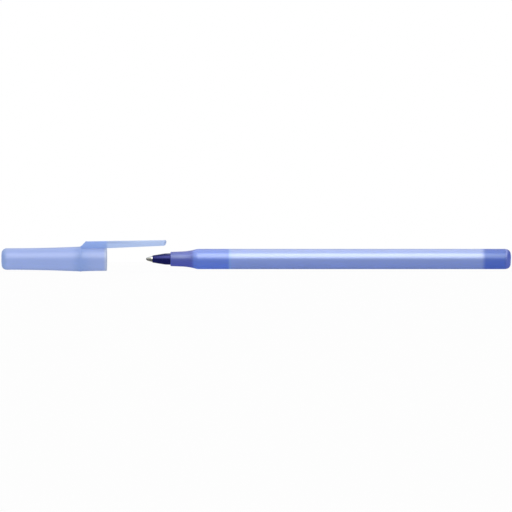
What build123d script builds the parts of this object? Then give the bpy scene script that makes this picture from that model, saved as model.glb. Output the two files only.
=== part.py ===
"""Stick ballpoint pen with its cap drawn off, as eight separate pieces.

+X runs along the pen from the writing ball to the tail, and +Z points to the side
that the pocket clip is on. The origin lies on the pen's axis, halfway along the
parallel wall of the barrel. Lengths are in millimetres.
"""

from build123d import *
import os
from math import radians, sqrt, tan

# Fits between the pieces
push_fit_gap = 0.02  # radial gap of pieces that are pushed together for good
cap_running_gap = 0.06  # radial gap of the cap on the barrel
ball_running_gap = 0.02  # gap round the ball in its seat
ink_film_gap = 0.01  # between the ink and the walls that it wets
overrun = 1.0  # how far a cut runs past the face that it opens

# Writing ball, ground carbide
ball_diameter = 1.0
ball_proud_share = 0.3  # of the ball's diameter, ahead of the lip

# Ball socket, turned nickel silver with a crimped lip
lip_wall = 0.08
socket_cone_length = 1.98
socket_collar_length = 0.3
socket_collar_step = 0.3
shank_diameter = 1.7
shank_wall = 0.35
shank_length = 5.0
feed_bore_diameter = 0.5
feed_bore_length = 0.6
feed_channel_count = 5
feed_channel_width = 0.14
feed_channel_depth = 0.2
feed_channel_reach_share = 0.85  # of the seat's radius

# Ink tube, extruded, and the ink in it
tube_diameter = 3.1
tube_wall = 0.6
tube_tail_in_plug = 3.0
ink_fill_share = 0.98  # of the tube's length

# Tip holder, a moulded cone with a spigot
holder_reach = 7.22
holder_cone_length = 4.9
holder_land_rise = 0.09
holder_front_rim = 0.3
holder_edge_chamfer = 0.2
holder_shoulder = 0.11
holder_wall = 0.63
holder_spigot_length = 9.4
holder_lead_in = 0.3
holder_passage_diameter = 1.2
shank_hole_room = 0.2
tube_socket_depth = 6.0

# Barrel, a moulded tube with a flared nose
barrel_diameter = 8.1
barrel_wall = 1.05
barrel_length = 133.9
nose_length = 11.4
nose_wall = 0.62
nose_edge_chamfer = 0.2
nose_bore_length = 23.6
nose_taper_length = 4.7
nose_taper_rise = 0.19
flare_hollow_share = 0.6  # of the flare's length
flare_shoulder_share = 0.24  # of the flare's length
bore_shoulder_angle = 40.0

# End plug, a moulded button with a hollow spigot
plug_head_length = 2.2
plug_crown_radius = 2.0
plug_head_relief = 0.03
plug_spigot_length = 8.3
plug_spigot_wall = 0.9
plug_lead_in = 0.4
plug_floor = 2.8
plug_vent_diameter = 1.0

# Cap, one moulding with its pocket clip
cap_length = 42.1
cap_rest_gap = 15.66  # mouth to ball, with the cap drawn off
cap_tip_room = 1.0  # end wall to ball, with the cap on
cap_end_wall = 2.3
cap_end_radius = 2.0
cap_inside_chamfer = 0.8
cap_vent_diameter = 3.0
cap_crown_wall = 0.64
cap_ring_wall = 0.84
cap_ring_width = 0.9
cap_ring_height = 0.11
cap_skirt_length = 9.9
cap_skirt_wall = 0.79
cap_mouth_wall = 0.61
cap_mouth_edge_chamfer = 0.15
cap_mouth_lead_in = 0.2
cap_seat_share = 0.63  # along the curve of the barrel's flare
cap_stop_gap = 0.1
cap_stop_angle = 55.0

# Pocket clip, an upturned channel that grows out of the cap
clip_root_length = 10.5
clip_ramp_run = 2.1
clip_foot_lead = 1.6
clip_foot_sink = 0.15  # start of the ramp, below the cap's skin
clip_foot_radius = 2.5
clip_stand = 2.34
clip_tip_lift = 0.49
clip_reach = 23.8
clip_root_gap = 0.26
clip_tip_gap = 1.28
clip_root_width = 4.2
clip_tip_width = 3.2
clip_tip_radius = 1.2
clip_tip_underside_radius = 1.3
clip_plate = 0.8
clip_flange = 0.7
clip_web = 0.5
clip_edge_radius = 0.3

# Radii, from the ball out to the cap
ball_radius = ball_diameter / 2
seat_radius = ball_radius + ball_running_gap
ball_proud = ball_diameter * ball_proud_share
lip_bore_radius = sqrt(seat_radius**2 - (ball_radius - ball_proud) ** 2)
lip_radius = lip_bore_radius + lip_wall
feed_bore_radius = feed_bore_diameter / 2
shank_radius = shank_diameter / 2
shank_bore_radius = shank_radius - shank_wall
collar_radius = shank_radius + socket_collar_step
tube_radius = tube_diameter / 2
tube_bore_radius = tube_radius - tube_wall
passage_radius = holder_passage_diameter / 2
tube_socket_radius = tube_radius + push_fit_gap
spigot_radius = tube_socket_radius + holder_wall
holder_front_radius = collar_radius + holder_front_rim
holder_land_radius = spigot_radius + holder_shoulder
nose_bore_radius = spigot_radius + push_fit_gap
nose_radius = nose_bore_radius + nose_wall
barrel_radius = barrel_diameter / 2
bore_radius = barrel_radius - barrel_wall
plug_spigot_radius = bore_radius - push_fit_gap
plug_cup_radius = plug_spigot_radius - plug_spigot_wall
plug_head_radius = barrel_radius - plug_head_relief
cap_bore_radius = barrel_radius + cap_running_gap
cap_ring_radius = cap_bore_radius + cap_ring_wall
cap_skirt_radius = cap_bore_radius + cap_skirt_wall
cap_mouth_radius = cap_bore_radius + cap_mouth_wall

# Places along the pen
wall_length = barrel_length - nose_length
wall_front = -wall_length / 2
barrel_tail = wall_length / 2
nose_face = wall_front - nose_length
holder_front = nose_face - holder_reach
lip_face = holder_front - socket_collar_length - socket_cone_length
ball_front = lip_face - ball_proud
ball_centre = ball_front + ball_radius
seat_back = ball_centre + sqrt(seat_radius**2 - feed_bore_radius**2)
feed_bore_end = seat_back + feed_bore_length
shank_end = holder_front + shank_length
holder_tail = nose_face + holder_spigot_length
nose_bore_end = nose_face + nose_bore_length
tube_front = holder_tail - tube_socket_depth
plug_front = barrel_tail - plug_spigot_length
plug_end = barrel_tail + plug_head_length
tube_tail = plug_front + tube_tail_in_plug

# Places along the cap, where it sits with the cap on
cap_inside_end = ball_front - cap_tip_room
cap_end = cap_inside_end - cap_end_wall
cap_mouth = cap_end + cap_length
cap_travel = cap_mouth + cap_rest_gap - ball_front

FORWARD, BACK, OUT = (-1, 0), (1, 0), (0, 1)


def turned(*edges):
    """Turn a closed half section, drawn as (along, radius), about the pen's axis."""
    return revolve(make_face(edges), Axis.X)


def barrel_taper():
    """The slightly conical stretch of the nose."""
    return Line(
        (nose_face + nose_edge_chamfer, nose_radius),
        (nose_face + nose_taper_length, nose_radius + nose_taper_rise),
    )


def barrel_flare():
    """The hollow, then rounded, flare from the nose to the parallel wall."""
    taper = barrel_taper()
    flare_length = nose_length - nose_taper_length
    wall_start = Vector(wall_front, barrel_radius)
    slope = taper % 1
    hollow = taper @ 1 + slope * (flare_length * flare_hollow_share)
    shoulder = wall_start - Vector(flare_length * flare_shoulder_share, 0)
    return Bezier(taper @ 1, hollow, shoulder, wall_start)


def make_barrel():
    shoulder_length = (bore_radius - nose_bore_radius) / tan(radians(bore_shoulder_angle))
    rest = Polyline(
        (wall_front, barrel_radius),
        (barrel_tail, barrel_radius),
        (barrel_tail, bore_radius),
        (nose_bore_end + shoulder_length, bore_radius),
        (nose_bore_end, nose_bore_radius),
        (nose_face, nose_bore_radius),
        (nose_face, nose_radius - nose_edge_chamfer),
        (nose_face + nose_edge_chamfer, nose_radius),
    )
    return turned(barrel_taper(), barrel_flare(), rest)


def make_end_plug():
    crown = TangentArc(
        (plug_end - plug_crown_radius, plug_head_radius),
        (plug_end, plug_head_radius - plug_crown_radius),
        tangent=BACK,
    )
    cup_floor = plug_end - plug_floor
    rest = Polyline(
        (plug_end, plug_head_radius - plug_crown_radius),
        (plug_end, plug_vent_diameter / 2),
        (cup_floor, plug_vent_diameter / 2),
        (cup_floor, plug_cup_radius),
        (plug_front, plug_cup_radius),
        (plug_front, plug_spigot_radius - plug_lead_in),
        (plug_front + plug_lead_in, plug_spigot_radius),
        (barrel_tail, plug_spigot_radius),
        (barrel_tail, plug_head_radius),
        (plug_end - plug_crown_radius, plug_head_radius),
    )
    return turned(crown, rest)


def make_tip_holder():
    cone_end = (holder_front + holder_cone_length, holder_land_radius - holder_land_rise)
    land = TangentArc((nose_face, holder_land_radius), cone_end, tangent=FORWARD)
    shank_hole_radius = shank_radius + push_fit_gap
    shank_hole_end = shank_end + shank_hole_room
    rest = Polyline(
        (nose_face, holder_land_radius),
        (nose_face, spigot_radius),
        (holder_tail - holder_lead_in, spigot_radius),
        (holder_tail, spigot_radius - holder_lead_in),
        (holder_tail, tube_socket_radius),
        (tube_front, tube_socket_radius),
        (tube_front, passage_radius),
        (shank_hole_end, passage_radius),
        (shank_hole_end, shank_hole_radius),
        (holder_front, shank_hole_radius),
        (holder_front, holder_front_radius - holder_edge_chamfer),
        (holder_front + holder_edge_chamfer, holder_front_radius),
        cone_end,
    )
    return turned(land, rest)


def make_ball_socket():
    seat = ThreePointArc(
        (lip_face, lip_bore_radius),
        (ball_centre, seat_radius),
        (seat_back, feed_bore_radius),
    )
    rest = Polyline(
        (seat_back, feed_bore_radius),
        (feed_bore_end, feed_bore_radius),
        (feed_bore_end, shank_bore_radius),
        (shank_end, shank_bore_radius),
        (shank_end, shank_radius),
        (holder_front, shank_radius),
        (holder_front, collar_radius),
        (holder_front - socket_collar_length, collar_radius),
        (lip_face, lip_radius),
        (lip_face, lip_bore_radius),
    )
    channel = Pos(X=ball_centre) * Box(
        seat_back + feed_channel_depth - ball_centre,
        feed_channel_width,
        seat_radius * feed_channel_reach_share,
        align=(Align.MIN, Align.CENTER, Align.MIN),
    )
    channels = [
        Rot(X=360 * number / feed_channel_count) * channel
        for number in range(feed_channel_count)
    ]
    return turned(seat, rest) - channels


def make_writing_ball():
    return Pos(X=ball_centre) * Sphere(ball_radius)


def make_ink_tube():
    return turned(
        Polyline(
            (tube_front, tube_bore_radius),
            (tube_front, tube_radius),
            (tube_tail, tube_radius),
            (tube_tail, tube_bore_radius),
            close=True,
        )
    )


def make_ink():
    """The ink column, from the tube through the holder's passage into the shank."""
    ink_tail = tube_front + (tube_tail - tube_front) * ink_fill_share
    column = Polyline(
        (feed_bore_end, 0),
        (feed_bore_end, shank_bore_radius - ink_film_gap),
        (shank_end, shank_bore_radius - ink_film_gap),
        (shank_end, passage_radius - ink_film_gap),
        (tube_front, passage_radius - ink_film_gap),
        (tube_front, tube_bore_radius - ink_film_gap),
        (ink_tail, tube_bore_radius - ink_film_gap),
        (ink_tail, 0),
        close=True,
    )
    return turned(column)


def make_clip():
    """The clip and its root, still solid down to the pen's axis."""
    foot = cap_mouth - clip_root_length
    crest = foot + clip_ramp_run
    tip = cap_mouth + clip_reach
    crest_height = cap_mouth_radius + clip_stand
    tip_height = crest_height + clip_tip_lift
    side = make_face(
        Polyline(
            (foot - clip_foot_lead, 0),
            (foot - clip_foot_lead, cap_ring_radius - clip_foot_sink),
            (foot, cap_ring_radius),
            (crest, crest_height),
            (tip, tip_height),
            (tip, barrel_radius + clip_tip_gap),
            (cap_mouth, barrel_radius + clip_root_gap),
            (cap_mouth, 0),
            close=True,
        )
    )
    ramp_foot = side.vertices().sort_by_distance((foot, cap_ring_radius))[0]
    side = fillet(ramp_foot, clip_foot_radius)
    tip_underside = side.vertices().group_by(Axis.X)[-1].sort_by(Axis.Y)[0]
    side = fillet(tip_underside, clip_tip_underside_radius)
    plan = make_face(
        Polyline(
            (foot - clip_foot_lead, -clip_root_width / 2),
            (tip, -clip_tip_width / 2),
            (tip, clip_tip_width / 2),
            (foot - clip_foot_lead, clip_root_width / 2),
            close=True,
        )
    )
    plan = fillet(plan.vertices().group_by(Axis.X)[-1], clip_tip_radius)
    body = extrude(Plane.XZ * side, clip_root_width / 2, both=True)
    body &= extrude(plan, tip_height)
    top = body.faces().sort_by(Axis.Z)[-1]
    body = fillet(top.edges(), clip_edge_radius)

    hollow_start = cap_mouth + clip_web
    start_share = (hollow_start - crest) / (tip - crest)
    start_height = crest_height + clip_tip_lift * start_share
    hollow = make_face(
        Polyline(
            (hollow_start, 0),
            (hollow_start, start_height - clip_plate),
            (tip, tip_height - clip_plate),
            (tip, 0),
            close=True,
        )
    )
    hollow = extrude(Plane.XZ * hollow, clip_root_width / 2, both=True)
    return body - (hollow & extrude(offset(plan, -clip_flange), tip_height))


def make_cap():
    stop = barrel_flare() @ cap_seat_share
    stop_edge = stop.X - cap_stop_gap
    nose_room_radius = stop.Y + cap_running_gap
    bore_start = stop_edge + (cap_bore_radius - nose_room_radius) / tan(radians(cap_stop_angle))
    crown_radius = nose_room_radius + cap_crown_wall
    ring_end = cap_mouth - cap_skirt_length
    ring_start = ring_end - cap_ring_width

    outside = turned(
        Line((cap_end, 0), (cap_end, crown_radius - cap_end_radius)),
        TangentArc(
            (cap_end, crown_radius - cap_end_radius),
            (cap_end + cap_end_radius, crown_radius),
            tangent=OUT,
        ),
        TangentArc(
            (cap_end + cap_end_radius, crown_radius),
            (ring_start, cap_ring_radius),
            tangent=BACK,
        ),
        Polyline(
            (ring_start, cap_ring_radius),
            (ring_start + cap_ring_width / 2, cap_ring_radius + cap_ring_height),
            (ring_end, cap_skirt_radius),
        ),
        TangentArc(
            (cap_mouth - cap_mouth_edge_chamfer, cap_mouth_radius),
            (ring_end, cap_skirt_radius),
            tangent=FORWARD,
        ),
        Polyline(
            (cap_mouth - cap_mouth_edge_chamfer, cap_mouth_radius),
            (cap_mouth, cap_mouth_radius - cap_mouth_edge_chamfer),
            (cap_mouth, 0),
            (cap_end, 0),
        ),
    )
    inside = turned(
        Polyline(
            (cap_inside_end, 0),
            (cap_inside_end, nose_room_radius - cap_inside_chamfer),
            (cap_inside_end + cap_inside_chamfer, nose_room_radius),
            (stop_edge, nose_room_radius),
            (bore_start, cap_bore_radius),
            (cap_mouth - cap_mouth_lead_in, cap_bore_radius),
            (cap_mouth, cap_bore_radius + cap_mouth_lead_in),
            (cap_mouth, 0),
            close=True,
        )
    )
    vent = Pos(X=cap_end - overrun) * Cylinder(
        cap_vent_diameter / 2,
        cap_end_wall + overrun * 2,
        rotation=(0, 90, 0),
        align=(Align.CENTER, Align.CENTER, Align.MIN),
    )
    return Pos(X=-cap_travel) * (outside + make_clip() - inside - vent)


os.makedirs("parts", exist_ok=True)
export_step(make_writing_ball(), "parts/writing_ball.step")
export_step(make_ball_socket(), "parts/ball_socket.step")
export_step(make_tip_holder(), "parts/tip_holder.step")
export_step(make_ink_tube(), "parts/ink_tube.step")
export_step(make_ink(), "parts/ink.step")
export_step(make_barrel(), "parts/barrel.step")
export_step(make_end_plug(), "parts/end_plug.step")
export_step(make_cap(), "parts/cap.step")
print("pen", ball_front, "to", plug_end, "cap travel", cap_travel, "ball centre", ball_centre)
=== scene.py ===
"""Looks of the stick ballpoint pen with its cap drawn off, on a pale floor."""

import bpy
import bmesh
from math import asin, cos, pi, radians, sin, sqrt, tan
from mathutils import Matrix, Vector


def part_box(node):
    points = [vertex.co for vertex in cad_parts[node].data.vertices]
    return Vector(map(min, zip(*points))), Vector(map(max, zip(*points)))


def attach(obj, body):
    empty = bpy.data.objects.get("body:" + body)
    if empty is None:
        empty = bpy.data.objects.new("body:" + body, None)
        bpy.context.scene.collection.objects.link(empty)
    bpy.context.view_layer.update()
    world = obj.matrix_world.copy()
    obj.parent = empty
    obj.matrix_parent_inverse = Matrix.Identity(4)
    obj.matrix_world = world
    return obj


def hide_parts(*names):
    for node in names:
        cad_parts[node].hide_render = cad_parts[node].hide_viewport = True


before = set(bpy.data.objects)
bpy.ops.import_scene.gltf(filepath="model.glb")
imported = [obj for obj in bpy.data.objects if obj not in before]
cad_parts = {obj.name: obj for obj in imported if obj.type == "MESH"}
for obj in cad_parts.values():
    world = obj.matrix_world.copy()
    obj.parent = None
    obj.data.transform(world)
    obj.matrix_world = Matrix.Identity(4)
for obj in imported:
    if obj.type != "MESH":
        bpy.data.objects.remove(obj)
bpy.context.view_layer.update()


# Writing ball: a ground tungsten carbide ball, 1 mm across. It is trapped in the
# socket by the crimped lip and rolls on the film of ink that it draws out.
MM = 0.001
weld = 1e-7
sharp_angle = radians(32)


class Wire:
    """A node's output socket, or a bare tree; arithmetic on it adds Math nodes."""

    def __init__(self, tree, socket=None):
        self.tree = tree
        self.socket = socket

    def node(self, kind, settings=None, inputs=None, output=0):
        """Add a node: settings first, then its sockets' values or links."""
        node = self.tree.nodes.new(kind)
        for name, value in (settings or {}).items():
            setattr(node, name, value)
        for name, value in (inputs or {}).items():
            if isinstance(value, Wire):
                self.tree.links.new(value.socket, node.inputs[name])
            else:
                node.inputs[name].default_value = value
        socket = node.outputs[output] if len(node.outputs) else None
        return Wire(self.tree, socket)

    def math(self, operation, *values):
        return self.node("ShaderNodeMath", {"operation": operation}, dict(enumerate(values)))

    def __add__(self, other):
        return self.math("ADD", self, other)

    __radd__ = __add__

    def __sub__(self, other):
        return self.math("SUBTRACT", self, other)

    def __rsub__(self, other):
        return self.math("SUBTRACT", other, self)

    def __mul__(self, other):
        return self.math("MULTIPLY", self, other)

    __rmul__ = __mul__

    def __truediv__(self, other):
        return self.math("DIVIDE", self, other)

    def between(self, low, high):
        """0 below low, 1 above high, and a smooth step between them."""
        settings = {"interpolation_type": "SMOOTHSTEP"}
        inputs = {"Value": self, "From Min": low, "From Max": high}
        return self.node("ShaderNodeMapRange", settings, inputs)

    def past(self, spot, before, after):
        """0 up to a spot in mm and 1 beyond it, softened this far to either side."""
        return self.between((spot - before) * MM, (spot + after) * MM)

    def blend(self, first, second):
        """Mix two colours by this value."""
        settings = {"data_type": "RGBA"}
        return self.node("ShaderNodeMix", settings, {0: self, 6: first, 7: second}, output=2)


def plain(colour):
    """A colour written as red, green, blue, for a node socket."""
    return (*colour, 1.0)


def new_finish(name):
    """A material with its shader, and the wires that its patterns start from."""
    material = bpy.data.materials.new(name)
    material.use_nodes = True
    shader = material.node_tree.nodes["Principled BSDF"]
    place = Wire(material.node_tree).node("ShaderNodeTexCoord", output="Object")
    return material, shader, place


def set_finish(shader, place, **sockets):
    """Set a shader's sockets by name, with _ for a space."""
    for name, value in sockets.items():
        socket = shader.inputs[name.replace("_", " ").title().replace("Ior", "IOR")]
        if isinstance(value, Wire):
            place.tree.links.new(value.socket, socket)
        else:
            socket.default_value = value


def grain(place, size, stretch=(1, 1, 1), detail=3.0):
    """Noise from 0 to 1, with features of about this size."""
    scale = [1 / (size * factor) for factor in stretch]
    spread = place.node("ShaderNodeMapping", {}, {"Vector": place, "Scale": scale})
    inputs = {"Vector": spread, "Scale": 1.0, "Detail": detail}
    return place.node("ShaderNodeTexNoise", {}, inputs, output="Fac")


def relief(height, depth):
    """A bump from a height of 0 to 1, this deep."""
    inputs = {"Height": height, "Distance": depth, "Strength": 1.0}
    return height.node("ShaderNodeBump", {}, inputs)


def rounded(*corners):
    """Points of a half section, from (along, radius, edge radius) corners in mm."""
    steps = 6
    points = []
    for number, (along, radius, edge) in enumerate(corners):
        corner = Vector((along, radius))
        if not edge:
            points.append(corner)
            continue
        before = Vector(corners[number - 1][:2]) - corner
        after = Vector(corners[(number + 1) % len(corners)][:2]) - corner
        half = before.angle(after) / 2
        reach = edge / tan(half)
        start = corner + before.normalized() * reach
        end = corner + after.normalized() * reach
        inwards = (before.normalized() + after.normalized()).normalized()
        centre = corner + inwards * (edge / sin(half))
        for step in range(steps + 1):
            spoke = (start - centre).slerp(end - centre, step / steps)
            points.append(centre + spoke.normalized() * edge)
    return points


def turned_tree():
    """Turns the half section of its object about the pen's axis."""
    tree = bpy.data.node_groups.new("turned piece", "GeometryNodeTree")
    face = tree.interface
    face.new_socket("Half section", in_out="INPUT", socket_type="NodeSocketGeometry")
    face.new_socket("Segments", in_out="INPUT", socket_type="NodeSocketInt")
    face.new_socket("Sharp angle", in_out="INPUT", socket_type="NodeSocketFloat")
    face.new_socket("Material", in_out="INPUT", socket_type="NodeSocketMaterial")
    face.new_socket("Piece", in_out="OUTPUT", socket_type="NodeSocketGeometry")
    start = Wire(tree)
    entry = tree.nodes.new("NodeGroupInput")
    section, segments, sharp, material = (Wire(tree, entry.outputs[i]) for i in range(4))

    count = start.node(
        "GeometryNodeAttributeDomainSize", {"component": "MESH"}, {"Geometry": section}
    )
    sheet = start.node(
        "GeometryNodeMeshGrid", {}, {"Vertices X": segments + 1, "Vertices Y": count}
    )
    index = start.node("GeometryNodeInputIndex")
    drawn = start.node("GeometryNodeInputPosition")
    point = start.node(
        "GeometryNodeSampleIndex",
        {"data_type": "FLOAT_VECTOR"},
        {"Geometry": section, "Value": drawn, "Index": index.math("FLOORED_MODULO", index, count)},
    )
    turn = index.math("FLOOR", index / count) * (2 * pi) / segments
    along = point.node("ShaderNodeSeparateXYZ", {}, {"Vector": point}, output="X")
    radius = point.node("ShaderNodeSeparateXYZ", {}, {"Vector": point}, output="Y")
    across = radius * turn.math("COSINE", turn)
    up = radius * turn.math("SINE", turn)
    spot = start.node("ShaderNodeCombineXYZ", {}, {"X": along, "Y": across, "Z": up})
    shell = start.node("GeometryNodeSetPosition", {}, {"Geometry": sheet, "Position": spot})
    shell = start.node("GeometryNodeMergeByDistance", {}, {"Geometry": shell, "Distance": weld})
    shell = start.node("GeometryNodeSetShadeSmooth", {"domain": "FACE"}, {"Geometry": shell})
    bend = start.node("GeometryNodeInputMeshEdgeAngle")
    settings = {"operation": "GREATER_THAN"}
    crisp = start.node("FunctionNodeCompare", settings, {"A": bend, "B": sharp})
    shell = start.node(
        "GeometryNodeSetShadeSmooth",
        {"domain": "EDGE"},
        {"Geometry": shell, "Selection": crisp, "Shade Smooth": False},
    )
    shell = start.node("GeometryNodeRealizeInstances", {}, {"Geometry": shell})
    shell = start.node("GeometryNodeSetMaterial", {}, {"Geometry": shell, "Material": material})
    start.node("NodeGroupOutput", {}, {"Piece": shell})
    return tree


turning = turned_tree()


def turned(name, points, material, segments, closed=True):
    """A piece turned from a half section, given as points in mm."""
    longest_run = 4.0
    if closed:
        points = [*points, points[0]]
    drawn = [points[0]]
    for point in points[1:]:
        runs = max(1, int((point - drawn[-1]).length / longest_run))
        here = drawn[-1]
        drawn += [here.lerp(point, (run + 1) / runs) for run in range(runs)]
    section = bpy.data.meshes.new(name)
    section.from_pydata(
        [(point.x * MM, point.y * MM, 0) for point in drawn],
        [(number, number + 1) for number in range(len(drawn) - 1)],
        [],
    )
    piece = bpy.data.objects.new(name, section)
    bpy.context.collection.objects.link(piece)
    lathe = piece.modifiers.new("turned", "NODES")
    lathe.node_group = turning
    values = {"Segments": segments, "Sharp angle": sharp_angle, "Material": material}
    for item in turning.interface.items_tree:
        if item.in_out == "INPUT" and item.name in values:
            lathe[item.identifier] = values[item.name]
    finish_mesh(piece)
    return piece


def finish_mesh(piece):
    """Turn a piece's modifiers into a plain mesh whose faces point outwards."""
    ready = piece.evaluated_get(bpy.context.evaluated_depsgraph_get())
    mesh = bpy.data.meshes.new_from_object(ready)
    piece.modifiers.clear()
    piece.data = mesh
    mesh.name = piece.name
    shape = bmesh.new()
    shape.from_mesh(mesh)
    bmesh.ops.recalc_face_normals(shape, faces=shape.faces)
    shape.to_mesh(mesh)
    shape.free()


def fit(piece, body, node):
    """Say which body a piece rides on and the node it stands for."""
    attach(piece, body)
    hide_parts(node)


def arc(centre, radius, start, end, steps):
    """Points of an arc round a centre on the axis, by angles from the front."""
    points = []
    for step in range(steps + 1):
        angle = start + (end - start) * step / steps
        points.append(Vector((centre - radius * cos(angle), radius * sin(angle))))
    return points


ball_radius = 0.5
ball_steps = 24
ball_centre = (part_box("writing_ball")[0].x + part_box("writing_ball")[1].x) / 2 / MM
ball_section = arc(ball_centre, ball_radius, 0, pi, ball_steps)
carbide, shader, place = new_finish("ground carbide")
grind = grain(place, 0.02 * MM)
smear = grain(place, 0.35 * MM).between(0.45, 0.7)
set_finish(
    shader,
    place,
    base_color=smear.blend(plain((0.30, 0.29, 0.27)), plain((0.13, 0.13, 0.16))),
    metallic=1.0,
    roughness=0.16 + grind * 0.12 + smear * 0.1,
    normal=relief(grind, 0.002 * MM),
)
ball = turned("writing_ball", ball_section, carbide, segments=48, closed=False)
fit(ball, "ball", "writing_ball")


# Ball socket: a nickel silver point, turned from bar on an automatic lathe. Its lip
# is crimped over the ball, and its shank is pressed into the tip holder.
holder_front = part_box("tip_holder")[0].x / MM
lip_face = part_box("ball_socket")[0].x / MM
shank_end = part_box("ball_socket")[1].x / MM
collar_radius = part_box("ball_socket")[1].y / MM
collar_length = 0.3
lip_bore = 0.48
lip_radius = 0.56
lip_length = 0.28
lip_swell = 0.12
seat_radius = 0.52
feed_radius = 0.25
feed_length = 0.6
shank_radius = 0.85
shank_bore = 0.5
seat_steps = 10
seat_from = asin(lip_bore / seat_radius)
seat_to = pi - asin(feed_radius / seat_radius)
seat = arc(ball_centre, seat_radius, seat_from, seat_to, seat_steps)
feed_end = seat[-1].x + feed_length
socket_section = rounded(
    (feed_end, feed_radius, 0),
    (feed_end, shank_bore, 0),
    (shank_end, shank_bore, 0),
    (shank_end, shank_radius, 0.1),
    (holder_front, shank_radius, 0),
    (holder_front, collar_radius, 0.04),
    (holder_front - collar_length, collar_radius, 0.08),
    (lip_face + lip_length, lip_radius + lip_swell, 0.25),
    (lip_face, lip_radius, 0.06),
    (lip_face, seat[0].y, 0),
)
nickel_silver, shader, place = new_finish("turned nickel silver")
turning_marks = grain(place, 0.03 * MM, (1, 60, 60), 2.0)
tarnish = grain(place, 0.5 * MM).between(0.4, 0.75)
set_finish(
    shader,
    place,
    base_color=tarnish.blend(plain((0.78, 0.77, 0.68)), plain((0.60, 0.59, 0.50))),
    metallic=1.0,
    roughness=0.14 + turning_marks * 0.12,
    normal=relief(turning_marks, 0.004 * MM),
)
socket = turned("ball_socket", socket_section + seat[1:], nickel_silver, segments=64)
fit(socket, "pen", "ball_socket")


# Tip holder: a glossy navy moulding. Its cone carries the metal point, and its short
# spigot is pushed into the barrel's nose and takes the ink tube at the back.
nose_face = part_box("barrel")[0].x / MM
holder_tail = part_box("tip_holder")[1].x / MM
tube_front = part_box("ink_tube")[0].x / MM
land_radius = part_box("tip_holder")[1].y / MM
cone_length = 4.9
land_rise = 0.09
front_radius = 1.45
spigot_radius = 2.2
passage_radius = 0.6
shank_hole = 0.87
shank_hole_depth = 5.2
shank_hole_end = holder_front + shank_hole_depth
tube_socket = 1.57
cone_end = holder_front + cone_length
land_steps = 8
land = []
for step in range(land_steps + 1):
    share = step / land_steps
    land.append(
        Vector((nose_face + (cone_end - nose_face) * share, land_radius - land_rise * share**2))
    )
holder_section = rounded(
    (holder_front, front_radius, 0.2),
    (holder_front, shank_hole, 0),
    (shank_hole_end, shank_hole, 0),
    (shank_hole_end, passage_radius, 0),
    (tube_front, passage_radius, 0),
    (tube_front, tube_socket, 0),
    (holder_tail, tube_socket, 0.1),
    (holder_tail, spigot_radius, 0.3),
    (nose_face, spigot_radius, 0),
)
navy, shader, place = new_finish("glossy navy moulding")
skin = grain(place, 0.25 * MM, (2, 1, 1))
rub = grain(place, 0.9 * MM, (0.6, 1, 1), 6.0).between(0.55, 0.8)
set_finish(
    shader,
    place,
    base_color=rub.blend(plain((0.003, 0.004, 0.070)), plain((0.006, 0.007, 0.090))),
    roughness=0.24 + skin * 0.06 + rub * 0.10,
    specular_ior_level=0.75,
    specular_tint=plain((0.30, 0.32, 1.0)),
    normal=relief(skin, 0.004 * MM),
)
holder = turned("tip_holder", holder_section + land, navy, segments=96)
fit(holder, "pen", "tip_holder")


# Ink tube: natural polypropylene, drawn out of a round die and cut to length. It is
# pushed into the back of the tip holder and is open at the tail.
tube_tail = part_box("ink_tube")[1].x / MM
tube_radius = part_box("ink_tube")[1].y / MM
tube_bore = 0.95
tube_section = rounded(
    (tube_front, tube_bore, 0),
    (tube_front, tube_radius, 0.06),
    (tube_tail, tube_radius, 0.06),
    (tube_tail, tube_bore, 0),
)
natural, shader, place = new_finish("natural tube")
draw_lines = grain(place, 0.12 * MM, (400, 1, 1))
set_finish(
    shader,
    place,
    base_color=draw_lines.blend(plain((0.80, 0.84, 0.90)), plain((0.70, 0.76, 0.86))),
    roughness=0.26 + draw_lines * 0.12,
    transmission_weight=0.7,
    ior=1.49,
    normal=relief(draw_lines, 0.004 * MM),
)
tube = turned("ink_tube", tube_section, natural, segments=64)
fit(tube, "pen", "ink_tube")


# Ink: a stiff blue oil paste that fills the tube, the holder's passage and the shank.
# Its back end is a shallow meniscus that follows the ink as it is used up.
ink_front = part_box("ink")[0].x / MM
ink_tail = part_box("ink")[1].x / MM
film = 0.01
meniscus = 0.5
meniscus_steps = 8
ink_back = []
for step in range(meniscus_steps + 1):
    share = 1 - step / meniscus_steps
    ink_back.append(
        Vector((ink_tail - meniscus * (1 - share**2), (tube_bore - film) * share))
    )
ink_section = rounded(
    (ink_front, 0, 0),
    (ink_front, shank_bore - film, 0),
    (shank_end, shank_bore - film, 0),
    (shank_end, passage_radius - film, 0),
    (tube_front, passage_radius - film, 0),
    (tube_front, tube_bore - film, 0),
)
paste, shader, place = new_finish("blue ink paste")
streak = grain(place, 0.5 * MM, (12, 1, 1))
set_finish(
    shader,
    place,
    base_color=streak.blend(plain((0.010, 0.012, 0.100)), plain((0.016, 0.020, 0.160))),
    roughness=0.12 + streak * 0.08,
)
ink = turned("ink", ink_section + ink_back, paste, segments=48, closed=False)
fit(ink, "pen", "ink")


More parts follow.
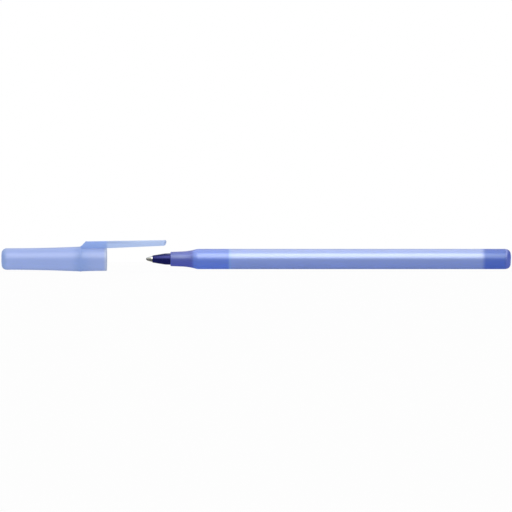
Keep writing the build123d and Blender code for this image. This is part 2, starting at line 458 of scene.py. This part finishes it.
# Barrel: one long moulding in satin translucent blue. The nose is drawn in round the
# tip holder, and the wall behind it is a plain hollow tube, open at the tail.
barrel_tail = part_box("barrel")[1].x / MM
barrel_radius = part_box("barrel")[1].y / MM
nose_radius = 2.84
nose_bore = 2.22
bore = 3.0
taper_length = 4.7
taper_rise = 0.19
nose_length = 11.4
flare_hollow = 0.6
flare_shoulder = 0.24
thick_length = 23.6
shoulder_angle = radians(40)
taper_end = nose_face + taper_length
wall_front = nose_face + nose_length
nose_bore_end = nose_face + thick_length
bore_shoulder = nose_bore_end + (bore - nose_bore) / tan(shoulder_angle)
plug_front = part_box("end_plug")[0].x / MM
nose_blue = (0.068, 0.090, 0.62)
front_blue = (0.09, 0.215, 0.91)
wall_blue = (0.245, 0.375, 0.94)
# Painted glint: a lighter band at the bore shoulder stands in for light refracted there.
painted_shoulder_glint = (0.25, 0.47, 0.97)
painted_glint_share = 0.6
over_plug_blue = (0.054, 0.145, 0.75)


def flare(steps=28):
    """The nose's outline from the taper to the parallel wall, as a Bezier curve."""
    start = Vector((taper_end, nose_radius + taper_rise))
    end = Vector((wall_front, barrel_radius))
    length = wall_front - taper_end
    slope = Vector((taper_end - nose_face, taper_rise)).normalized()
    hollow = start + slope * (length * flare_hollow)
    shoulder = end - Vector((length * flare_shoulder, 0))
    points = []
    for step in range(steps + 1):
        t = step / steps
        points.append(
            start * (1 - t) ** 3
            + hollow * (3 * t * (1 - t) ** 2)
            + shoulder * (3 * t**2 * (1 - t))
            + end * t**3
        )
    return points


barrel_section = rounded(
    (wall_front + 1, barrel_radius, 0),
    (barrel_tail, barrel_radius, 0.08),
    (barrel_tail, bore, 0.08),
    (bore_shoulder, bore, 0),
    (nose_bore_end, nose_bore, 0),
    (nose_face, nose_bore, 0.06),
    (nose_face, nose_radius, 0.2),
)
frosted, shader, place = new_finish("satin translucent blue")
reach = place.node("ShaderNodeSeparateXYZ", {}, {"Vector": place}, output="X")
past_spigot = reach.past(holder_tail, before=1.2, after=0.4)
past_thick = reach.between((nose_bore_end - 0.7) * MM, (bore_shoulder + 0.3) * MM)
at_shoulder = 4 * past_thick * (1 - past_thick)
over_plug = reach.past(plug_front, before=1.6, after=0.6)
tone = past_spigot.blend(plain(nose_blue), plain(front_blue))
tone = past_thick.blend(tone, plain(wall_blue))
# painted glint: the wall is lightened in a narrow band at the bore shoulder
tone = (at_shoulder * painted_glint_share).blend(tone, plain(painted_shoulder_glint))
tone = over_plug.blend(tone, plain(over_plug_blue))
pigment = grain(place, 3 * MM, (6, 1, 1))
deeper = place.node("ShaderNodeVectorMath", {"operation": "SCALE"}, {0: tone, "Scale": 0.92})
skin = grain(place, 0.12 * MM)
handling = grain(place, 6 * MM, (2, 1, 1), 6.0).between(0.5, 0.8)
set_finish(
    shader,
    place,
    base_color=pigment.blend(tone, deeper),
    roughness=0.42 + skin * 0.08 - handling * 0.05,
    ior=1.49,
    specular_ior_level=1.0,
    specular_tint=plain((0.75, 0.95, 0.80)),
    transmission_weight=0.35,
    coat_weight=0.24 + past_spigot * 0.36 + past_thick * 0.36 - over_plug * 0.74,
    coat_roughness=0.34,
    coat_ior=2.05,
    normal=relief(skin, 0.003 * MM),
)
barrel = turned("barrel", barrel_section + flare(), frosted, segments=160)
fit(barrel, "pen", "barrel")


# End plug: a moulded button in deeper blue. Its hollow spigot is pushed into the back
# of the barrel, and a vent lets air in behind the ink.
plug_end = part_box("end_plug")[1].x / MM
plug_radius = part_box("end_plug")[1].y / MM
crown_radius = 2.1
plug_spigot = 2.98
plug_cup = 2.08
plug_wall = 2.8
plug_floor = plug_end - plug_wall
plug_vent = 0.5
plug_section = rounded(
    (plug_end, plug_vent, 0.15),
    (plug_floor, plug_vent, 0),
    (plug_floor, plug_cup, 0.3),
    (plug_front, plug_cup, 0.15),
    (plug_front, plug_spigot, 0.4),
    (barrel_tail, plug_spigot, 0),
    (barrel_tail, plug_radius, 0.05),
    (plug_end, plug_radius, crown_radius),
)
deep_blue, shader, place = new_finish("satin deep blue")
pigment = grain(place, 2 * MM)
skin = grain(place, 0.12 * MM)
set_finish(
    shader,
    place,
    base_color=pigment.blend(plain((0.053, 0.096, 0.54)), plain((0.059, 0.106, 0.58))),
    roughness=0.40 + skin * 0.08,
    specular_ior_level=1.0,
    specular_tint=plain((0.75, 0.95, 0.80)),
    coat_weight=0.6,
    coat_roughness=0.30,
    coat_ior=2.0,
    normal=relief(skin, 0.003 * MM),
)
plug = turned("end_plug", plug_section, deep_blue, segments=128)
fit(plug, "pen", "end_plug")


# Cap: one translucent moulding of a flared thimble and its pocket clip. It slips over
# the nose until its inner step meets the barrel's flare, and the end is vented.
cap_length = 42.1
cap_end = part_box("cap")[0].x / MM
cap_mouth = cap_end + cap_length
clip_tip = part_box("cap")[1].x / MM
clip_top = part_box("cap")[1].z / MM
cap_crown = 4.299
cap_end_radius = 2.0
cap_ring = 4.95
ring_height = 0.11
ring_width = 0.9
skirt_radius = 4.90
mouth_radius = 4.72
mouth_round = 0.12
mouth_lead = 0.3
mouth_spread = 0.15
skirt_length = 9.9
cap_bore = 4.11
cap_room = 3.659
cap_wall = 2.3
cap_vent = 1.5
stop_depth = 21.934
bore_depth = 22.25
cap_floor = cap_end + cap_wall
stop_edge = cap_end + stop_depth
bore_start = cap_end + bore_depth
ring_end = cap_mouth - skirt_length
ring_start = ring_end - ring_width
clip_root_length = 10.5
foot_lead = 1.6
foot_sink = 0.15
foot_round = 2.5
clip_ramp = 2.1
clip_stand = 2.34
clip_foot = cap_mouth - clip_root_length
clip_start = clip_foot - foot_lead
clip_crest = clip_foot + clip_ramp
clip_crest_top = mouth_radius + clip_stand
clip_root_width = 4.2
clip_tip_width = 3.2
clip_tip_round = 1.2
clip_edge = 0.3
clip_edge_share = 0.9
clip_plate = 0.8
clip_flange = 0.7
clip_least_hollow = 0.02
clip_web = 0.5
clip_root_gap = 0.26
clip_tip_gap = 1.28
clip_web_end = cap_mouth + clip_web
clip_under_root = barrel_radius + clip_root_gap
clip_under_tip = barrel_radius + clip_tip_gap
clip_seat = 4.44
under_round = 1.3
back_steps = 4
edge_steps = 5
cap_blue = (0.39, 0.52, 0.95)
end_blue = (0.32, 0.47, 0.86)
skirt_blue = (0.375, 0.50, 0.91)
ring_blue = (0.305, 0.45, 0.88)
mouth_pale = (0.54, 0.63, 0.84)
flange_blue = (0.495, 0.65, 0.98)
plate_blue = (0.37, 0.51, 0.84)
clip_tip_blue = (0.515, 0.665, 0.98)
clip_root_blue = (0.275, 0.45, 0.93)


def swell(x_from, r_from, x_to, r_to, steps=14):
    """A line that leaves its first point level and rises to its second."""
    points = []
    for step in range(1, steps + 1):
        t = step / steps
        points.append(Vector((x_from + (x_to - x_from) * t, r_from + (r_to - r_from) * t**2)))
    return points


def ring_bead(steps=10):
    """The raised ring at the root of the skirt."""
    points = []
    for step in range(1, steps):
        t = step / steps
        base = cap_ring + (skirt_radius - cap_ring) * t
        points.append(Vector((ring_start + ring_width * t, base + ring_height * sin(pi * t))))
    return points


cap_front = rounded(
    (cap_floor, cap_vent, 0.15),
    (cap_end, cap_vent, 0.25),
    (cap_end, cap_crown, cap_end_radius),
    (cap_end + cap_end_radius + 1, cap_crown, 0),
)[:-1]
cap_inside = rounded(
    (ring_end, mouth_radius, 0),
    (cap_mouth, mouth_radius, mouth_round),
    (cap_mouth, cap_bore + mouth_spread, 0.05),
    (cap_mouth - mouth_lead, cap_bore, 0),
    (bore_start, cap_bore, 0),
    (stop_edge, cap_room, 0),
    (cap_floor, cap_room, 0.8),
    (cap_floor, cap_vent, 0),
)[1:-1]
cap_section = (
    cap_front
    + swell(cap_end + cap_end_radius, cap_crown, ring_start, cap_ring)
    + ring_bead()
    + swell(cap_mouth - mouth_round, mouth_radius, ring_end, skirt_radius)[::-1]
    + cap_inside
)
periwinkle, shader, place = new_finish("translucent periwinkle")
reach = place.node("ShaderNodeSeparateXYZ", {}, {"Vector": place}, output="X")
rise = place.node("ShaderNodeSeparateXYZ", {}, {"Vector": place}, output="Z")
near_end = 1 - reach.between((cap_end + 0.8) * MM, (cap_floor + 0.6) * MM)
up_to_ring = reach.past(ring_start, before=4, after=0)
near_ring = up_to_ring * (1 - reach.past(ring_end, before=0, after=5))
past_ring = reach.between(ring_start * MM, (ring_end + 4) * MM)
past_mouth = reach.past(cap_mouth, before=-0.02, after=0.2)
at_mouth = reach.past(cap_mouth, before=1.4, after=-0.1)
past_foot = reach.past(clip_foot, before=0.1, after=0.4)
above_cap = rise.past(clip_seat, before=0.2, after=0)
on_clip = rise.math("MAXIMUM", past_mouth, past_foot * above_cap)
past_web = reach.past(clip_web_end, before=1.2, after=0.4)
to_tip = reach.past(clip_web_end, before=0, after=14)
in_plate = rise.past(clip_crest_top - clip_plate, before=0.3, after=0.1)
tone = near_end.blend(plain(cap_blue), plain(end_blue))
tone = past_ring.blend(tone, plain(skirt_blue))
tone = near_ring.blend(tone, plain(ring_blue))
tone = at_mouth.blend(tone, plain(mouth_pale))
arm = in_plate.blend(plain(flange_blue), plain(plate_blue))
arm = to_tip.blend(arm, plain(clip_tip_blue))
arm = past_web.blend(plain(clip_root_blue), arm)
tone = on_clip.blend(tone, arm)
pigment = grain(place, 4 * MM, (3, 1, 1))
deeper = place.node("ShaderNodeVectorMath", {"operation": "SCALE"}, {0: tone, "Scale": 0.94})
skin = grain(place, 0.12 * MM)
set_finish(
    shader,
    place,
    base_color=pigment.blend(tone, deeper),
    roughness=0.38 + skin * 0.08,
    ior=1.49,
    transmission_weight=0.25,
    coat_weight=0.35,
    coat_roughness=0.30,
    normal=relief(skin, 0.003 * MM),
)
cap = turned("cap", cap_section, periwinkle, segments=160)


def ease(value, radius):
    """How far a rounded end has drawn in, this far from the end."""
    short = max(0.0, radius - value)
    return radius - sqrt(max(0.0, radius**2 - short**2))


def clip_back(x):
    """Height of the clip's back, from the crest to the tip."""
    return clip_crest_top + (clip_top - clip_crest_top) * (x - clip_crest) / (clip_tip - clip_crest)


def clip_station(x, top, hollow, seated):
    """One cross section of the clip, a channel whose foot runs into the round wall."""
    from_tip = clip_tip - x
    along = (x - clip_start) / (clip_tip - clip_start)
    half = (clip_root_width + (clip_tip_width - clip_root_width) * along) / 2
    half -= ease(from_tip, clip_tip_round)
    top -= ease(from_tip, clip_edge)
    outwards = (x - cap_mouth) / (clip_tip - cap_mouth)
    under = clip_under_root + (clip_under_tip - clip_under_root) * outwards
    under += ease(from_tip, under_round)
    edge = min(clip_edge, half * clip_edge_share)
    inner = max(half - clip_flange, clip_least_hollow)
    plate = top - clip_plate if hollow else under
    crown = [((half - edge) * part / back_steps, top) for part in range(1, back_steps)]
    for step in range(edge_steps + 1):
        angle = pi / 2 * step / edge_steps
        crown.append((half - edge + edge * sin(angle), top - edge + edge * cos(angle)))
    hug = max(0.0, (clip_crest - x) / (clip_crest - clip_start))
    right = [(y, z - hug * (top - sqrt(top**2 - y**2))) for y, z in crown]
    below = [(half, under), (inner, under), (inner, plate)]
    if seated:
        below = [(y, sqrt(clip_seat**2 - y**2)) for y, z in below]
    right += below
    outline = right + [(-y, z) for y, z in right[::-1]]
    return [Vector((x, y, z)) * MM for y, z in outline]


ramp = rounded(
    (clip_start, cap_ring - foot_sink, 0),
    (clip_foot, cap_ring, foot_round),
    (clip_crest, clip_crest_top, 0),
)
stations = [clip_station(point.x, point.y, False, True) for point in ramp]
root_end = cap_mouth - 0.1
web_start = cap_mouth - 0.02
root_steps = 6
for step in range(1, root_steps + 1):
    x = clip_crest + (root_end - clip_crest) * step / root_steps
    stations.append(clip_station(x, clip_back(x), False, True))
for x in (web_start, clip_web_end):
    stations.append(clip_station(x, clip_back(x), False, False))
arm_steps = 8
for step in range(arm_steps + 1):
    x = clip_web_end + (clip_tip - clip_tip_round - clip_web_end) * step / arm_steps
    stations.append(clip_station(x, clip_back(x), True, False))
tip_steps = 7
for step in range(1, tip_steps + 1):
    x = clip_tip - clip_tip_round * cos(pi / 2 * step / tip_steps)
    stations.append(clip_station(x, clip_back(x), True, False))
clip_shape = bmesh.new()
rings = [[clip_shape.verts.new(point) for point in station] for station in stations]
for first, second in zip(rings, rings[1:]):
    for number in range(len(first)):
        after = (number + 1) % len(first)
        clip_shape.faces.new((first[number], first[after], second[after], second[number]))
clip_shape.faces.new(rings[0])
clip_shape.faces.new(rings[-1])
bmesh.ops.remove_doubles(clip_shape, verts=clip_shape.verts, dist=weld)
bmesh.ops.recalc_face_normals(clip_shape, faces=clip_shape.faces)
clip_mesh = bpy.data.meshes.new("clip")
clip_shape.to_mesh(clip_mesh)
clip_shape.free()
clip = bpy.data.objects.new("clip", clip_mesh)
bpy.context.collection.objects.link(clip)
clip_mesh.materials.append(periwinkle)
join = cap.modifiers.new("clip", "BOOLEAN")
join.operation = "UNION"
join.solver = "EXACT"
join.object = clip
finish_mesh(cap)
bpy.data.objects.remove(clip)
cap.data.shade_smooth()
cap.data.set_sharp_from_angle(angle=sharp_angle)
fit(cap, "cap", "cap")


# Stage: a white tent, as for a catalogue picture. Floor and sky light the pen evenly and
# are white to the lens. In the gloss the floor shows painted shade, grey in front of the pen
# and close behind it, and white farther behind; a ceiling and a softbox show there too.
# The floor keeps the pen's shadow.
def looks(wire):
    """1 for what the lens or a clear plastic looks at, and 1 for what a gloss shows."""
    camera = wire.node("ShaderNodeLightPath", output="Is Camera Ray")
    gloss = wire.node("ShaderNodeLightPath", output="Is Glossy Ray")
    through = wire.node("ShaderNodeLightPath", output="Is Transmission Ray")
    direct = camera.math("MAXIMUM", camera, through)
    return direct, gloss * (1 - direct)


floor_height = -5.07 * MM
floor_side = 3.0
floor_white = 0.7
floor_gloss = 0.9
# painted shade: the grey that the gloss sees on the floor in front of the pen and close behind it
painted_shade_grey = (0.20, 0.20, 0.20)
far_white = (0.85, 0.85, 0.85)
corners = ((-1, -1), (1, -1), (1, 1), (-1, 1))
floor_mesh = bpy.data.meshes.new("floor")
floor_mesh.from_pydata(
    [(x * floor_side, y * floor_side, floor_height) for x, y in corners], [], [(0, 1, 2, 3)]
)
floor = bpy.data.objects.new("floor", floor_mesh)
bpy.context.collection.objects.link(floor)
pale = bpy.data.materials.new("pale floor")
pale.use_nodes = True
pale.node_tree.nodes.clear()
start = Wire(pale.node_tree)
direct, gloss = looks(start)
place = start.node("ShaderNodeTexCoord", output="Object")
depth = start.node("ShaderNodeSeparateXYZ", {}, {"Vector": place}, output="Y")
behind = depth.past(8, before=6, after=6)
# Painted shade: the floor near the pen is grey in the gloss, and white farther behind.
shade = behind.blend(plain(painted_shade_grey), plain(far_white))
shade = direct.blend(shade, plain((1, 1, 1)))
matt = start.node("ShaderNodeBsdfDiffuse", {}, {"Color": shade})
white = start.node("ShaderNodeEmission", {}, {"Color": plain((1, 1, 1)), "Strength": 1.0})
fill = (1 - direct) * (1 - gloss)
share = direct * floor_white + gloss * behind * floor_gloss + fill
mixed = start.node("ShaderNodeMixShader", {}, {0: share, 1: matt, 2: white})
start.node("ShaderNodeOutputMaterial", {}, {"Surface": mixed})
floor_mesh.materials.append(pale)

sky = bpy.data.worlds.new("studio")
sky.use_nodes = True
sky.node_tree.nodes.clear()
start = Wire(sky.node_tree)
ambient = 0.95
ceiling = 1.9
ceiling_edge = (0.5, 0.9)
low_sky = 0.2
back_edge = (0.75, 0.95)
side_edge = (0.2, 0.7)
side_dim = 0.75
way = start.node("ShaderNodeTexCoord", output="Generated")
height = start.node("ShaderNodeSeparateXYZ", {}, {"Vector": way}, output="Z")
depth = start.node("ShaderNodeSeparateXYZ", {}, {"Vector": way}, output="Y")
side = start.node("ShaderNodeSeparateXYZ", {}, {"Vector": way}, output="X")
overhead = low_sky + height.between(*ceiling_edge) * (ceiling - low_sky)
overhead = overhead.math("MAXIMUM", overhead, depth.between(*back_edge))
overhead = overhead * (1 - side.between(*side_edge) * side_dim)
direct, gloss = looks(start)
level = ambient + direct * (1 - ambient) + gloss * (overhead - ambient)
glow = start.node("ShaderNodeBackground", {}, {"Color": plain((1, 1, 1)), "Strength": level})
start.node("ShaderNodeOutputWorld", {}, {"Surface": glow})
bpy.context.scene.world = sky

view_centre = -38.45
key_height = radians(38)
key_distance = 0.7
key_toward = Vector((0, -cos(key_height), sin(key_height)))
lamp = bpy.data.lights.new("key", "AREA")
lamp.shape = "RECTANGLE"
lamp.size = 0.6
lamp.size_y = 0.66
lamp.energy = 4.7
key = bpy.data.objects.new("key", lamp)
key.location = Vector((view_centre, 0, 0)) * MM + key_toward * key_distance
key.rotation_euler = key_toward.to_track_quat("Z", "Y").to_euler()
key.visible_camera = False
key.visible_diffuse = False
bpy.context.collection.objects.link(key)

lens_distance = 2.0
lens_height = 1.2 * MM
frame_width = 204.8 * MM
camera = bpy.data.cameras.new("camera")
camera.type = "PERSP"
camera.sensor_width = 36
camera.lens = camera.sensor_width * lens_distance / frame_width
camera.clip_end = 20
viewer = bpy.data.objects.new("camera", camera)
viewer.location = (view_centre * MM, -lens_distance, lens_height)
viewer.rotation_euler = (pi / 2, 0, 0)
bpy.context.collection.objects.link(viewer)
bpy.context.scene.camera = viewer
bpy.context.scene.view_settings.view_transform = "Standard"
